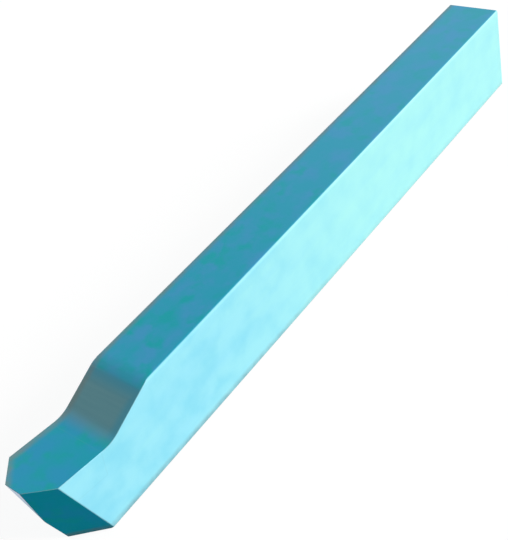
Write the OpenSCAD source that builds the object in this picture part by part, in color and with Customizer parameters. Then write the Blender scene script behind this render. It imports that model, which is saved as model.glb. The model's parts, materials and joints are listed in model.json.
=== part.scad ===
// Straight pointed turning tool with a carbide plate brazed into its nose.
// Lengths are in millimetres and angles in degrees.
// +X runs from the rear end to the cutting point, +Y across the shank and +Z up from the base.

/* [Shank] */
// Overall length, from the rear end to the cutting point
tool_length = 120; // [90:1:160]
// Width of the shank
shank_width = 10; // [8:0.5:16]
// Height of the shank
shank_height = 16; // [12:0.5:25]
// Radius along the four long edges
edge_radius = 0.5; // [0.2:0.1:1.5]
// Chamfer round the rear end
rear_chamfer = 0.5; // [0.2:0.1:1.5]

/* [Cutting point] */
// Drop of the cutting point below the top of the shank
point_drop = 1.4; // [0.5:0.1:4]
// Angle between the two flanks, seen from above
point_angle = 96; // [60:1:120]
// Width of the blunt end of the point
point_width = 3; // [1:0.1:5]
// Rise of the rake face towards the point
rake_angle = 10; // [3:0.5:12]
// Clearance ground on the two flanks
flank_clearance = 11; // [4:0.5:12]
// Clearance ground on the blunt end
front_clearance = 6.5; // [4:0.5:12]

/* [Ramp] */
// Slope of the ramp that leads down from the top of the shank
ramp_angle = 23; // [15:1:40]
// Radius of the crest, where the ramp leaves the top
crest_radius = 7; // [1:0.5:10]
// Radius of the hollow at the foot of the ramp
foot_radius = 5; // [2:0.5:8]
// Flat strip of steel between the hollow and the braze
foot_land = 0.3; // [0.1:0.1:2]

/* [Carbide tip] */
// Length of the plate along the rake face
tip_length = 10.6; // [8:0.1:16]
// Thickness of the plate
tip_thickness = 4; // [2:0.1:5]
// Thickness of the braze under and behind the plate
braze_thickness = 0.15; // [0.1:0.05:0.3]

/* [Hidden] */
$fn = 48;
enamel = "#3d9fb8";

// Ends and sides of the bar
rear_x = -tool_length / 2;
point_x = tool_length / 2;
half_width = shank_width / 2;
point_height = shank_height - point_drop;

// The seat holds the plate and the braze
seat_length = tip_length + braze_thickness;
seat_depth = tip_thickness + braze_thickness;

// Turn of the hollow, and the length of its tangents and of the crest's
foot_turn = ramp_angle + rake_angle;
foot_tangent = foot_radius * tan(foot_turn / 2);
crest_tangent = crest_radius * tan(ramp_angle / 2);

// Where the lines of the rake face, the ramp and the top meet
foot_setback = seat_length + foot_land + foot_tangent;
foot_x = point_x - foot_setback * cos(rake_angle);
foot_z = point_height - foot_setback * sin(rake_angle);
crest_x = foot_x - (shank_height - foot_z) / tan(ramp_angle);

// Directions along the rake face, towards the point, and down the ramp
along_rake = [cos(rake_angle), sin(rake_angle)];
down_ramp = [cos(ramp_angle), -sin(ramp_angle)];

// How far a cut runs past the metal that it removes
overcut = shank_height + shank_width;

// Stock that stands past the point until the nose is ground
point_stock = tip_thickness;

// Section across the bar: a rectangle with round corners, standing on its base
module bar_section() {
    translate([-half_width, edge_radius])
        square([shank_width, shank_height - 2 * edge_radius]);
    translate([-half_width + edge_radius, 0])
        square([shank_width - 2 * edge_radius, shank_height]);
    for (side = [-1, 1], level = [edge_radius, shank_height - edge_radius])
        translate([side * (half_width - edge_radius), level])
            circle(edge_radius);
}

// Corner between two straight lines that touch a circle at from and to
module round_corner(from, apex, to, centre, radius) {
    difference() {
        polygon([from, apex, to]);
        translate(centre)
            circle(radius);
    }
}

// Steel that stays in the hollow at the foot of the ramp
module foot_hollow() {
    foot = [foot_x, foot_z];
    rake_touch = foot + foot_tangent * along_rake;
    round_corner(
        from = foot - foot_tangent * down_ramp,
        apex = foot - [0, foot_radius],
        to = rake_touch,
        centre = rake_touch + foot_radius * [-along_rake.y, along_rake.x],
        radius = foot_radius
    );
}

// Steel that comes off the crest of the ramp
module crest_waste() {
    crest = [crest_x, shank_height];
    top_touch = crest - [crest_tangent, 0];
    round_corner(
        from = top_touch,
        apex = crest + [0, crest_radius],
        to = crest + crest_tangent * down_ramp,
        centre = top_touch - [0, crest_radius],
        radius = crest_radius
    );
}

// Side view of the bar: top, ramp and rising rake face
module side_outline() {
    difference() {
        union() {
            polygon([
                [rear_x, rear_chamfer],
                [rear_x + rear_chamfer, 0],
                [point_x, 0],
                [point_x, point_height],
                [foot_x, foot_z],
                [crest_x, shank_height],
                [rear_x + rear_chamfer, shank_height],
                [rear_x, shank_height - rear_chamfer]
            ]);
            foot_hollow();
        }
        crest_waste();
    }
}

// View of the bar from above
module top_outline() {
    polygon([
        [rear_x, half_width - rear_chamfer],
        [rear_x, -half_width + rear_chamfer],
        [rear_x + rear_chamfer, -half_width],
        [point_x, -half_width],
        [point_x, half_width],
        [rear_x + rear_chamfer, half_width]
    ]);
}

// The bar with its ramp, before the seat is cut and the nose is ground
module bar() {
    intersection() {
        translate([rear_x, 0, 0])
            rotate([90, 0, 90])
                linear_extrude(tool_length)
                    bar_section();
        rotate([90, 0, 0])
            linear_extrude(shank_width, center = true)
                side_outline();
        linear_extrude(shank_height)
            top_outline();
    }
}

// Block under the rake face, from length behind the point to the end of the stock.
// A cut runs past the top and the sides.
module rake_block(length, depth, past = 0) {
    translate([point_x, 0, point_height])
        rotate([0, -rake_angle, 0])
            translate([-length, -half_width - past, -depth])
                cube([length + point_stock, shank_width + 2 * past, depth + past]);
}

// Space in front of a face that leans back by clearance and looks along heading
module face_cut(edge_y, heading, clearance) {
    translate([point_x, edge_y, point_height])
        rotate([0, clearance, heading])
            translate([0, -overcut, -overcut])
                cube([overcut, 2 * overcut, 2 * overcut]);
}

// Metal that grinding takes off: two flanks and the blunt end between them
module nose_waste() {
    for (side = [-1, 1])
        face_cut(side * point_width / 2, side * (90 - point_angle / 2), flank_clearance);
    face_cut(0, 0, front_clearance);
}

module shank() {
    color(enamel)
        difference() {
            bar();
            rake_block(seat_length, seat_depth, overcut);
            nose_waste();
        }
}

module carbide_tip() {
    color(enamel)
        difference() {
            rake_block(tip_length, tip_thickness);
            nose_waste();
        }
}

module braze_layer() {
    color(enamel)
        difference() {
            rake_block(seat_length, seat_depth);
            rake_block(tip_length, tip_thickness, overcut);
            nose_waste();
        }
}

shank();
carbide_tip();
braze_layer();
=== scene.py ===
import json
import math

import bmesh
import bpy
from mathutils import Matrix, Vector
from mathutils.bvhtree import BVHTree

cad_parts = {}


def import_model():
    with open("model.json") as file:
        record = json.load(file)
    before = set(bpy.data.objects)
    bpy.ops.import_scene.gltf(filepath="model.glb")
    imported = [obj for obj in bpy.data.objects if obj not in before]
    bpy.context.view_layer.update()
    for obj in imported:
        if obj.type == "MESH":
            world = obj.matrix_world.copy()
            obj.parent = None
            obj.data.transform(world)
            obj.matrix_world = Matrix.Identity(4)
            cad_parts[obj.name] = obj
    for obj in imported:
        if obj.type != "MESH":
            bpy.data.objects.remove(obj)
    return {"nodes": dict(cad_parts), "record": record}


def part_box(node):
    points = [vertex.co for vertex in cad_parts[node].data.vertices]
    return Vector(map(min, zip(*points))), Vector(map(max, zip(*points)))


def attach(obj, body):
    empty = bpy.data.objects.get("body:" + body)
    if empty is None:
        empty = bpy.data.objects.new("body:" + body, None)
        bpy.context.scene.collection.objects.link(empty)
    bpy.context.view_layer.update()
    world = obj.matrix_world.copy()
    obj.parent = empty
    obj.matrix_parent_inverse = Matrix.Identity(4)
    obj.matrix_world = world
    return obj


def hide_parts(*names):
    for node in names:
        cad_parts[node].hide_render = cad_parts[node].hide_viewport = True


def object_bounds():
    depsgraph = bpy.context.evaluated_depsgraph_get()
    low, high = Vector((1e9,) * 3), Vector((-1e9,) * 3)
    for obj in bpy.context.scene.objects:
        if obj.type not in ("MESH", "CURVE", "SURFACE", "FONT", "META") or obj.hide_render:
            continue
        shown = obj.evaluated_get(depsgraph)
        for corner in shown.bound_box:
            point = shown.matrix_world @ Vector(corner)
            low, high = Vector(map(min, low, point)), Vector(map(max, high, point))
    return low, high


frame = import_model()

# Painted turning tool: one coat of enamel over a steel shank with a brazed carbide tip.
# Lengths are in metres in the frame of the solids: +X to the cutting point, +Y to the near side, +Z up.

MM = 0.001
CAD_LOW, CAD_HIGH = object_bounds()
LENGTH = CAD_HIGH.x - CAD_LOW.x
HEIGHT = CAD_HIGH.z - CAD_LOW.z
HALF_WIDTH = CAD_HIGH.y
POINT_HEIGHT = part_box("carbide_tip")[1].z

# Each piece with what it is brazed to, and its slot in the record
NEIGHBOURS = {
    "shank": ["braze_layer"],
    "carbide_tip": ["braze_layer"],
    "braze_layer": ["shank", "carbide_tip"],
}
SLOTS = {row["node"]: row["material_slot"] for row in frame["record"]["subparts"]}

# Name of the mark that the softened edges carry
WEAR_MARK = "edge_wear"

# Colours of the coat on the top and the rake face, as linear values
TEAL = (0.014, 0.285, 0.400)
TEAL_BLUE = (0.036, 0.262, 0.455)
TEAL_GREEN = (0.002, 0.300, 0.340)
# Painted sheen: a paler teal that whitens the top towards the rear end, as a reflection would
PAINTED_SHEEN_TEAL = (0.11, 0.39, 0.60)

# How much of each colour the thicker coat on the rake face keeps
NOSE_TINT = (0.32, 0.88, 0.84)

# Colours of the coat on the sides: painted light, paler than the top as if brightly lit
PAINTED_LIGHT_SIDE_GREEN = (0.325, 0.705, 0.690)
PAINTED_LIGHT_SIDE_BLUE = (0.242, 0.603, 0.728)
PAINTED_LIGHT_SIDE_THICK = (0.161, 0.531, 0.669)

# Colours of the coat on the ramp
BLUE_SLATE = (0.043, 0.246, 0.337)
SLATE = (0.099, 0.262, 0.299)
DARK_SLATE = (0.089, 0.245, 0.283)

# Colours of the coat on the ground flanks, of worn edges and painted shade, and of bare metal
DEEP_TEAL = (0.0, 0.375, 0.515)
DEEP_BLUE = (0.006, 0.352, 0.570)
DEEP_GREEN = (0.0, 0.390, 0.470)
WEAR_AND_SHADE_COLOUR = (0.13, 0.20, 0.20)
BRIGHT_METAL = (0.46, 0.56, 0.71)
DULL_METAL = (0.13, 0.28, 0.40)

# How much each direction counts in patterns that run along the bar, across it, or level round the nose
ALONG_BAR = (0.15, 1.0, 1.0)
ACROSS_BAR = (1.0, 0.04, 1.0)
ROUND_NOSE = (0.05, 0.05, 1.0)


class Shading:
    """A material's or a world's node tree, with short ways to add to it."""

    # Places of the colours among the sockets of a Mix node
    FIRST_COLOUR = 6
    SECOND_COLOUR = 7
    MIXED_COLOUR = 2

    def __init__(self, owner):
        owner.use_nodes = True
        self.owner = owner
        self.tree = owner.node_tree
        self.tree.nodes.clear()

    def node(self, kind, settings=None, **inputs):
        """A node of that kind, with its settings, and with a value or a link on each named input."""
        made = self.tree.nodes.new("ShaderNode" + kind)
        for key, value in (settings or {}).items():
            setattr(made, key, value)
        for key, value in inputs.items():
            self.feed(made.inputs[key.replace("_", " ")], value)
        return made

    def feed(self, socket, value):
        """Links a value from another node to the socket, or sets a plain one."""
        if isinstance(value, bpy.types.NodeSocket):
            self.tree.links.new(value, socket)
        elif isinstance(value, tuple) and len(socket.default_value) == 4:
            socket.default_value = (*value, 1.0)
        else:
            socket.default_value = value

    def math(self, operation, first, second=0.0):
        """What the operation makes of one or two values."""
        made = self.node("Math", {"operation": operation})
        self.feed(made.inputs[0], first)
        self.feed(made.inputs[1], second)
        return made.outputs[0]

    def step(self, value, start, end):
        """0 before start and 1 past end, with a smooth way between."""
        settings = {"interpolation_type": "SMOOTHSTEP"}
        made = self.node("MapRange", settings, Value=value, From_Min=start, From_Max=end)
        return made.outputs["Result"]

    def between(self, share, low, high):
        """low where share is 0 and high where it is 1."""
        made = self.node("MapRange", Value=share, To_Min=low, To_Max=high)
        return made.outputs["Result"]

    def mix(self, share, first, second, blend="MIX"):
        """A share of the second colour over the first, or blended with it in another way."""
        made = self.node("Mix", {"data_type": "RGBA", "blend_type": blend})
        self.feed(made.inputs["Factor"], share)
        self.feed(made.inputs[self.FIRST_COLOUR], first)
        self.feed(made.inputs[self.SECOND_COLOUR], second)
        return made.outputs[self.MIXED_COLOUR]

    def noise(self, place, size, detail=2.0, roughness=0.5):
        """Cloudy noise whose patches are about size across."""
        made = self.node("TexNoise", Vector=place, Scale=1 / size, Detail=detail, Roughness=roughness)
        return made.outputs["Fac"]

    def patches(self, place, size, start, end, detail=2.0):
        """Noise that is 0 below start and 1 above end, so that it lies in patches."""
        return self.step(self.noise(place, size, detail), start, end)

    def stretched(self, place, factors):
        """The place with each direction scaled, so that noise on it runs in streaks."""
        made = self.node("VectorMath", {"operation": "MULTIPLY"})
        self.feed(made.inputs[0], place)
        made.inputs[1].default_value = factors
        return made.outputs["Vector"]

    def distance_past(self, place, point, direction):
        """How far the place lies past the point, along the direction."""
        made = self.node("VectorMath", {"operation": "DOT_PRODUCT"})
        self.feed(made.inputs[0], place)
        made.inputs[1].default_value = direction
        return self.math("SUBTRACT", made.outputs["Value"], point.dot(direction))

    def bump(self, height, depth, strength):
        """The direction of a surface that the height makes uneven, as deep as depth."""
        made = self.node("Bump", Strength=strength, Distance=depth, Height=height)
        return made.outputs["Normal"]

    def surface(self):
        """The place on the piece, and the direction that its surface faces, as X, Y and Z."""
        coordinates = self.node("TexCoord").outputs
        return coordinates["Object"], self.parts(coordinates["Normal"])

    def parts(self, vector):
        """The vector's X, Y and Z."""
        return self.node("SeparateXYZ", Vector=vector).outputs

    def paint(self, **inputs):
        """Ends the tree in a surface shader, and gives the material."""
        shader = self.node("BsdfPrincipled", **inputs)
        self.node("OutputMaterial", Surface=shader.outputs["BSDF"])
        return self.owner


# Ramp in the solid: how far up its faces look at least, and what is still the same slope
RAMP_UPWARD = 0.7
SAME_SLOPE = 0.001


def ramp_span():
    """Where the flat of the ramp starts and ends along X, from the shank's steepest upward faces."""
    mesh = frame["nodes"]["shank"].data
    upward = [face for face in mesh.polygons if face.normal.z > RAMP_UPWARD]
    steepest = max(face.normal.x for face in upward)
    flat = [face for face in upward if face.normal.x > steepest - SAME_SLOPE]
    reach = [mesh.vertices[corner].co.x for face in flat for corner in face.vertices]
    return min(reach), max(reach)


def far_flank():
    """A point on the carbide tip's far flank, and the direction that the flank faces."""
    faces = frame["nodes"]["carbide_tip"].data.polygons
    flank = max(faces, key=lambda face: face.normal.x - face.normal.y)
    return flank.center.copy(), flank.normal.copy()


RAMP_TOP, RAMP_FOOT = ramp_span()
FLANK_POINT, FLANK_FACING = far_flank()


def looks_up(shading, facing):
    """1 on the upper faces, 0 on the sides and flanks."""
    return shading.step(facing["Z"], start=0.6, end=0.8)


def looks_sideways(shading, facing):
    """1 on the sides and flanks, 0 on the faces that look up or to the rear."""
    sideways = shading.math("ABSOLUTE", facing["Y"])
    return shading.step(sideways, start=0.45, end=0.65)


# Mottling: sizes of its bluer and greener clouds
BLUE_CLOUDS = 4 * MM
GREEN_CLOUDS = 3 * MM


def mottled(shading, place, plain, blue, green):
    """A coat that is cloudy between its plain colour, a bluer one and a greener one."""
    blue_share = shading.patches(place, BLUE_CLOUDS, start=0.40, end=0.68, detail=3.0)
    green_share = shading.patches(place, GREEN_CLOUDS, start=0.50, end=0.72)
    return shading.mix(green_share, shading.mix(blue_share, plain, blue), green)


# Top: from where to the rear its painted sheen is strongest, by how much, and the length over which the
# nose deepens
PAINTED_SHEEN_FULL_FROM = -0.4 * LENGTH
PAINTED_SHEEN_SHARE = 0.3
NOSE_FADE = 3 * MM


def top_coat(shading, place, along):
    """The coat on the top and the rake face, paled towards the rear end by a painted sheen, and deeper on
    the nose.
    """
    coat = mottled(shading, place, TEAL, TEAL_BLUE, TEAL_GREEN)
    # Painted sheen: the coat turns paler towards the rear end.
    towards_rear = shading.step(along, start=RAMP_TOP, end=PAINTED_SHEEN_FULL_FROM)
    coat = shading.mix(shading.between(towards_rear, low=0.0, high=PAINTED_SHEEN_SHARE), coat, PAINTED_SHEEN_TEAL)
    on_nose = shading.step(along, start=RAMP_FOOT, end=RAMP_FOOT + NOSE_FADE)
    return shading.mix(on_nose, coat, NOSE_TINT, blend="MULTIPLY")


# Sides: sizes of their patterns, where they turn bluer along the bar, and how far clouds shift that
SIDE_STREAKS = 2.5 * MM
SIDE_CLOUDS = 14 * MM
THICK_PATCHES = 4.5 * MM
BLUER_FROM = -0.15 * LENGTH
BLUEST_FROM = 0.33 * LENGTH
CLOUD_SHIFT = 8 * MM


def painted_light_side(shading, place, along):
    """The sides' coat with painted light, paler than the top as if brightly lit: streaked along the bar,
    bluer towards the nose, thicker in patches.
    """
    shift = shading.between(shading.noise(place, SIDE_CLOUDS), low=-CLOUD_SHIFT, high=CLOUD_SHIFT)
    shifted = shading.math("ADD", along, shift)
    towards_nose = shading.step(shifted, start=BLUER_FROM, end=BLUEST_FROM)
    streaks = shading.noise(shading.stretched(place, ALONG_BAR), SIDE_STREAKS, detail=4.0)
    blue = shading.between(towards_nose, low=0.0, high=0.75)
    blue = shading.math("ADD", blue, shading.between(streaks, low=-0.3, high=0.45))
    coat = shading.mix(blue, PAINTED_LIGHT_SIDE_GREEN, PAINTED_LIGHT_SIDE_BLUE)
    thick = shading.patches(place, THICK_PATCHES, start=0.35, end=0.75, detail=5.0)
    thick = shading.math("MULTIPLY", thick, shading.between(towards_nose, low=0.2, high=0.6))
    return shading.mix(thick, coat, PAINTED_LIGHT_SIDE_THICK)


# Ramp: size of the cutter's marks, and how far the bluer shade reaches in from the crest and the near edge
CUTTER_MARKS = 0.8 * MM
CREST_SHADE = 2.3 * MM
NEAR_SHADE = 1.8 * MM
NEAR_SHADE_FULL = 0.4 * MM

# Ramp: how far its coat fades past the ends of its flat, and how far into it
FADE_PAST_CREST = 0.6 * MM
FADE_BELOW_CREST = 0.4 * MM
FADE_PAST_FOOT = 2.6 * MM
FADE_ABOVE_FOOT = 0.6 * MM


def greyer_ramp(shading, place, along, across):
    """The ramp's greyer coat, bluer below the crest and along the near edge, with the cutter's marks."""
    streaked = shading.stretched(place, ACROSS_BAR)
    marks = shading.patches(streaked, CUTTER_MARKS, start=0.35, end=0.65, detail=3.0)
    coat = shading.mix(marks, SLATE, DARK_SLATE)
    at_crest = shading.step(along, start=RAMP_TOP + CREST_SHADE, end=RAMP_TOP)
    near_edge = shading.step(across, start=HALF_WIDTH - NEAR_SHADE, end=HALF_WIDTH - NEAR_SHADE_FULL)
    blue = shading.math("MAXIMUM", at_crest, shading.between(near_edge, low=0.0, high=0.8))
    return shading.mix(blue, coat, BLUE_SLATE)


def ramp_share(shading, along, facing):
    """1 on the ramp: a short fade at the crest, and a slow one in the hollow at the foot."""
    below_crest = shading.step(along, start=RAMP_TOP - FADE_PAST_CREST, end=RAMP_TOP + FADE_BELOW_CREST)
    above_foot = shading.step(along, start=RAMP_FOOT + FADE_PAST_FOOT, end=RAMP_FOOT - FADE_ABOVE_FOOT)
    share = shading.math("MULTIPLY", below_crest, above_foot)
    return shading.math("MULTIPLY", share, looks_up(shading, facing))


# Wear and painted shade: size of their patches, how far each reaches in from an edge, and how near to the
# edge it is full
WEAR_AND_SHADE_PATCHES = 1.6 * MM
FAR_WEAR = 1.5 * MM
FAR_WEAR_FULL = 0.4 * MM
LIP_WEAR = 1.2 * MM
LIP_WEAR_FULL = 0.1 * MM
BASE_PAINTED_SHADE = 1.6 * MM
BASE_PAINTED_SHADE_FULL = 0.5 * MM

# Painted shade at the base: from where along the bar it grows, and from where it is strongest
BASE_PAINTED_SHADE_GROWS = -0.1 * LENGTH
BASE_PAINTED_SHADE_STRONGEST = 0.25 * LENGTH


def far_rim(shading, place, facing):
    """1 along the far edge and the far cutting edge of the upper faces, where the wear reaches in."""
    across = shading.parts(place)["Y"]
    long_edge = shading.step(across, start=FAR_WEAR - HALF_WIDTH, end=FAR_WEAR_FULL - HALF_WIDTH)
    past_flank = shading.distance_past(place, FLANK_POINT, FLANK_FACING)
    cutting_edge = shading.step(past_flank, start=-LIP_WEAR, end=-LIP_WEAR_FULL)
    rim = shading.math("MAXIMUM", long_edge, cutting_edge)
    return shading.math("MULTIPLY", rim, looks_up(shading, facing))


def base_painted_shade(shading, place, facing):
    """Share of painted shade along the base of the sides and flanks, which is stronger towards the nose.
    """
    along, _, up = shading.parts(place)
    low_down = shading.step(up, start=BASE_PAINTED_SHADE, end=BASE_PAINTED_SHADE_FULL)
    towards_nose = shading.step(along, start=BASE_PAINTED_SHADE_GROWS, end=BASE_PAINTED_SHADE_STRONGEST)
    rim = shading.math("MULTIPLY", low_down, shading.between(towards_nose, low=0.15, high=0.7))
    return shading.math("MULTIPLY", rim, looks_sideways(shading, facing))


def round_rim_wear_and_shade(shading, facing):
    """1 on the roundings of the far top edge, where the coat is worn, and of the near base edge, where it
    takes painted shade.
    """
    diagonal = shading.math("MULTIPLY", facing["Y"], facing["Z"])
    return shading.step(diagonal, start=-0.2, end=-0.45)


def wear_and_shade_share(shading, place, facing):
    """How worn the coat is along the softened and far edges, and how much painted shade it takes along the
    base, in patches.
    """
    mark = shading.node("Attribute", {"attribute_name": WEAR_MARK}).outputs["Fac"]
    edge = shading.between(mark, low=0.0, high=0.5)
    for rim in (
        round_rim_wear_and_shade(shading, facing),
        far_rim(shading, place, facing),
        base_painted_shade(shading, place, facing),
    ):
        edge = shading.math("MAXIMUM", edge, rim)
    patches = shading.patches(place, WEAR_AND_SHADE_PATCHES, start=0.3, end=0.7, detail=4.0)
    return shading.math("MULTIPLY", edge, shading.between(patches, low=0.45, high=0.85))


# Satin enamel: sizes of its gloss clouds and its orange peel, and the peel's depth and strength
GLOSS_CLOUDS = 14 * MM
ORANGE_PEEL = 0.9 * MM
PEEL_DEPTH = 0.02 * MM
PEEL_STRENGTH = 0.25


def enamel(name, seam_shade):
    """Satin enamel: mottled teal with painted sheen towards the rear, painted light that makes the sides
    pale, greyer on the ramp, worn along the edges, and with painted shade along the base.
    """
    shading = Shading(bpy.data.materials.new(name))
    place, facing = shading.surface()
    along, across, _ = shading.parts(place)

    # Painted light: the sides take a paler coat than the top, as if brightly lit.
    side = painted_light_side(shading, place, along)
    coat = shading.mix(looks_sideways(shading, facing), top_coat(shading, place, along), side)
    ramp = greyer_ramp(shading, place, along, across)
    coat = shading.mix(ramp_share(shading, along, facing), coat, ramp)
    # Wear along the edges, and painted shade along the base.
    coat = shading.mix(wear_and_shade_share(shading, place, facing), coat, WEAR_AND_SHADE_COLOUR)
    coat = shading.mix(seam_shade, coat, WEAR_AND_SHADE_COLOUR)

    clouds = shading.noise(place, GLOSS_CLOUDS, detail=4.0, roughness=0.6)
    peel = shading.noise(place, ORANGE_PEEL)
    return shading.paint(
        Base_Color=coat,
        Roughness=shading.between(clouds, low=0.36, high=0.52),
        Specular_IOR_Level=0.15,
        Normal=shading.bump(peel, PEEL_DEPTH, PEEL_STRENGTH),
    )


# Ground faces: size, depth and strength of the grinding lines
GRINDING_LINES = 0.25 * MM
LINE_DEPTH = 0.01 * MM
LINE_STRENGTH = 0.3


def grinding_lines(shading, place):
    """Fine lines across the nose that the grinding wheel leaves."""
    return shading.noise(shading.stretched(place, ROUND_NOSE), GRINDING_LINES, detail=3.0)


def ground_enamel(name):
    """Dull enamel over the ground flanks, with the grinding lines below it, worn edges and painted shade
    along the base.
    """
    shading = Shading(bpy.data.materials.new(name))
    place, facing = shading.surface()
    coat = mottled(shading, place, DEEP_TEAL, DEEP_BLUE, DEEP_GREEN)
    coat = shading.mix(wear_and_shade_share(shading, place, facing), coat, WEAR_AND_SHADE_COLOUR)
    lines = grinding_lines(shading, place)
    return shading.paint(
        Base_Color=coat,
        Roughness=shading.between(lines, low=0.5, high=0.7),
        Specular_IOR_Level=0.02,
        Normal=shading.bump(lines, LINE_DEPTH, LINE_STRENGTH),
    )


# Blunt end: heights up to which it is stained, and from which it is bright
STAINED_TO = 0.45 * POINT_HEIGHT
BRIGHT_FROM = 0.95 * POINT_HEIGHT


def bare_metal(name):
    """The blunt end's ground metal: bright at the cutting edge, and stained by paint lower down."""
    shading = Shading(bpy.data.materials.new(name))
    place, _ = shading.surface()
    lines = grinding_lines(shading, place)
    bright = shading.step(shading.parts(place)["Z"], start=STAINED_TO, end=BRIGHT_FROM)
    bright = shading.math("MULTIPLY", bright, shading.between(lines, low=0.8, high=1.1))
    return shading.paint(
        Base_Color=shading.mix(bright, DULL_METAL, BRIGHT_METAL),
        Metallic=0.9,
        Roughness=shading.between(lines, low=0.35, high=0.5),
        Normal=shading.bump(lines, LINE_DEPTH, LINE_STRENGTH),
    )


# How far the paint rounds a sharp edge, in how many steps, and the profile that makes it round
EDGE_SOFTNESS = 0.12 * MM
EDGE_STEPS = 3
ROUND_PROFILE = 0.5

# Angles between two faces: from a crease on the edge is softened, below the smooth angle it is shaded as
# one surface, and below the flat angle the two faces are joined
CREASE_ANGLE = math.radians(40)
SMOOTH_ANGLE = math.radians(35)
FLAT_ANGLE = math.radians(0.2)

# Points closer than this touch
TOUCHING = 0.01 * MM

# The rear end has a chamfer of its own, so its edges need no softening
REAR_END = CAD_LOW.x + 1 * MM

# A face whose normal has less than this along an axis counts as level with that axis
LEVEL = 0.02

# Coats of a piece, in the order of its materials
PAINTED, GROUND, BARE = range(3)

# How far forward the blunt end and the flanks face at least, and how far up a flank looks at most
BLUNT_END_FORWARD = 0.95
FLANK_FORWARD = 0.5
FLANK_UPWARD = 0.3


def surface_tree(node):
    """Search tree over a solid's faces."""
    mesh = frame["nodes"][node].data
    corners = [vertex.co for vertex in mesh.vertices]
    faces = [polygon.vertices for polygon in mesh.polygons]
    return BVHTree.FromPolygons(corners, faces)


def is_free_edge(edge, neighbours):
    """True for a sharp edge before the rear end that no brazed neighbour touches."""
    if edge.calc_face_angle(0) < CREASE_ANGLE:
        return False
    middle = (edge.verts[0].co + edge.verts[1].co) / 2
    if middle.x < REAR_END:
        return False
    return all(tree.find_nearest(middle)[3] > TOUCHING for tree in neighbours)


def soften_edges(skin, node):
    """Rounds the free sharp edges as paint does, and marks the middle of each rounding as worn."""
    mark = skin.verts.layers.float.new(WEAR_MARK)
    trees = [surface_tree(name) for name in NEIGHBOURS[node]]
    free = [edge for edge in skin.edges if is_free_edge(edge, trees)]
    softened = bmesh.ops.bevel(
        skin,
        geom=free,
        offset=EDGE_SOFTNESS,
        segments=EDGE_STEPS,
        profile=ROUND_PROFILE,
        affect="EDGES",
    )
    rounding = set(softened["faces"])
    for vertex in softened["verts"]:
        if rounding.issuperset(vertex.link_faces):
            vertex[mark] = 1.0


def coat_of(face):
    """The coat that a face takes: bare on the blunt end, ground on the flanks, else painted."""
    if face.normal.x > BLUNT_END_FORWARD:
        return BARE
    if face.normal.x > FLANK_FORWARD and face.normal.z < FLANK_UPWARD:
        return GROUND
    return PAINTED


def crosses_long_edge(edge):
    """True where the crest of the ramp cuts through a rounded long edge, at however small an angle."""
    normals = [face.normal for face in edge.link_faces]
    rounded = any(abs(normal.x) < LEVEL < abs(normal.y) for normal in normals)
    sloped = any(abs(normal.y) < LEVEL < normal.x for normal in normals)
    return rounded and sloped


def painted_mesh(node):
    """The solid's own form with softened edges. Each face has its coat."""
    skin = bmesh.new()
    skin.from_mesh(frame["nodes"][node].data)
    bmesh.ops.remove_doubles(skin, verts=skin.verts, dist=TOUCHING)
    bmesh.ops.dissolve_limit(skin, angle_limit=FLAT_ANGLE, verts=skin.verts, edges=skin.edges)
    soften_edges(skin, node)
    skin.normal_update()
    for face in skin.faces:
        face.smooth = True
        face.material_index = coat_of(face)
    for edge in skin.edges:
        edge.smooth = edge.calc_face_angle(0) < SMOOTH_ANGLE and not crosses_long_edge(edge)
    mesh = bpy.data.meshes.new("painted_" + node)
    skin.to_mesh(mesh)
    skin.free()
    return mesh


def painted_piece(node, coats):
    """The piece that stands for a solid, with its coats."""
    piece = bpy.data.objects.new("painted_" + node, painted_mesh(node))
    bpy.context.scene.collection.objects.link(piece)
    for coat in coats:
        piece.data.materials.append(coat)
    shade = piece.modifiers.new("flat faces stay flat", "WEIGHTED_NORMAL")
    shade.keep_sharp = True
    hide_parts(node)
    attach(piece, "root")


# How much of the worn shade shows in each piece's coat: the braze shows faintly through the paint
SEAM_SHADES = {"shank": 0.0, "carbide_tip": 0.0, "braze_layer": 0.06}

ground_coat = ground_enamel("ground_enamel")
blunt_end = bare_metal("bare_metal")
for name in NEIGHBOURS:
    painted_piece(name, [enamel(SLOTS[name], SEAM_SHADES[name]), ground_coat, blunt_end])


# Stage: a pale floor that the camera sees as white, with the shadow kept
WHITE = (1.0, 1.0, 1.0)
FLOOR_SIZE = 8 * LENGTH
FLOOR_GAP = 0.01 * MM
FLOOR_BOUNCE = 0.3
FLOOR_WHITE = 0.90
FLOOR_SHADOW = 0.12
WORLD_LEVEL = 0.30


def seen_directly(shading):
    """1 for rays from the camera, a mirror image or glass, else 0."""
    rays = shading.node("LightPath").outputs
    seen = shading.math("MAXIMUM", rays["Is Camera Ray"], rays["Is Glossy Ray"])
    return shading.math("MAXIMUM", seen, rays["Is Transmission Ray"])


def floor_material():
    """White with a faint shadow where it is seen, and a plain grey where it only throws light back."""
    shading = Shading(bpy.data.materials.new("pale_floor"))
    bounce = shading.node("BsdfDiffuse", Color=(FLOOR_BOUNCE,) * 3)
    shadow = shading.node("BsdfDiffuse", Color=(FLOOR_SHADOW,) * 3)
    white = shading.node("Emission", Color=WHITE, Strength=FLOOR_WHITE)
    shown = shading.node("AddShader")
    shading.feed(shown.inputs[0], shadow.outputs[0])
    shading.feed(shown.inputs[1], white.outputs[0])
    mixed = shading.node("MixShader", Fac=seen_directly(shading))
    shading.feed(mixed.inputs[1], bounce.outputs[0])
    shading.feed(mixed.inputs[2], shown.outputs[0])
    shading.node("OutputMaterial", Surface=mixed.outputs[0])
    return shading.owner


def floor():
    """A level floor just below the tool."""
    bpy.ops.mesh.primitive_plane_add(size=FLOOR_SIZE, location=(0, 0, CAD_LOW.z - FLOOR_GAP))
    plane = bpy.context.object
    plane.name = "floor"
    plane.data.materials.append(floor_material())


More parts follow.
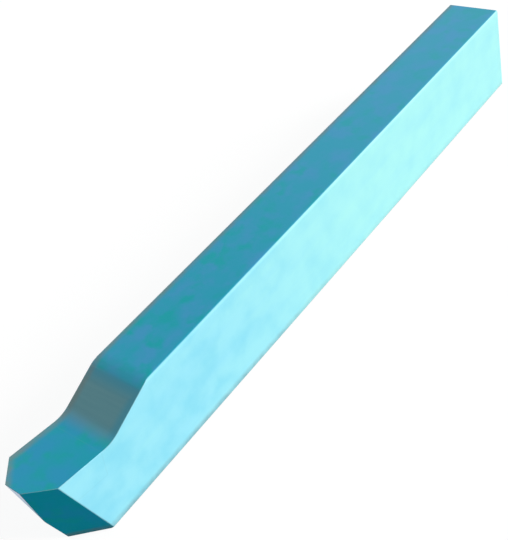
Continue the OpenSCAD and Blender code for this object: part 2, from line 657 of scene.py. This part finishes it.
def world():
    """Even light from all round, which the camera and mirror images see as white."""
    shading = Shading(bpy.data.worlds.new("studio"))
    level = shading.between(seen_directly(shading), low=WORLD_LEVEL, high=1.0)
    background = shading.node("Background", Color=WHITE, Strength=level)
    shading.node("OutputWorld", Surface=background.outputs[0])
    bpy.context.scene.world = shading.owner


# Lamps: two large softboxes round the tool, the key on the near side and the fill on the far side
LAMP_TARGET = Vector((0, 0, HEIGHT / 2))
LAMP_DISTANCE = 30 * LENGTH
LAMP_SIZE = 15 * LENGTH
KEY_DIRECTION = Vector((-0.53, 0.75, 0.40)).normalized()
KEY_LEVEL = 1.55
FILL_DIRECTION = Vector((0.0, -0.98, 0.20)).normalized()
FILL_LEVEL = 0.7


def softbox(name, direction, level):
    """Square lamp. A white card at the target that faces the lamp comes out at about the level."""
    data = bpy.data.lights.new(name, "AREA")
    data.shape = "SQUARE"
    data.size = LAMP_SIZE
    data.energy = level * (math.pi * LAMP_DISTANCE) ** 2
    lamp = bpy.data.objects.new(name, data)
    bpy.context.scene.collection.objects.link(lamp)
    lamp.location = LAMP_TARGET + direction * LAMP_DISTANCE
    lamp.rotation_euler = direction.to_track_quat("Z", "Y").to_euler()


# Camera, from a fit to the long edges and the corners. The focal length is in millimetres.
CAMERA_AIM = Vector((3.837, -8.883, 0)) * MM
CAMERA_DISTANCE = 157.366 * MM
CAMERA_HEADING = math.radians(49.729)
CAMERA_ELEVATION = math.radians(40.474)
CAMERA_ROLL = math.radians(-17.762)
FOCAL_LENGTH = 61.52
NEAREST_SEEN = 10 * MM


def camera():
    """The photo's viewpoint."""
    back = Vector((
        math.cos(CAMERA_ELEVATION) * math.cos(CAMERA_HEADING),
        math.cos(CAMERA_ELEVATION) * math.sin(CAMERA_HEADING),
        math.sin(CAMERA_ELEVATION),
    ))
    data = bpy.data.cameras.new("camera")
    data.lens = FOCAL_LENGTH
    data.clip_start = NEAREST_SEEN
    made = bpy.data.objects.new("camera", data)
    bpy.context.scene.collection.objects.link(made)
    turn = back.to_track_quat("Z", "Y") @ Matrix.Rotation(CAMERA_ROLL, 3, "Z").to_quaternion()
    place = Matrix.Translation(CAMERA_AIM + back * CAMERA_DISTANCE)
    made.matrix_world = place @ turn.to_matrix().to_4x4()
    bpy.context.scene.camera = made


floor()
world()
softbox("key", KEY_DIRECTION, KEY_LEVEL)
softbox("fill", FILL_DIRECTION, FILL_LEVEL)
camera()
bpy.context.scene.view_settings.view_transform = "Standard"
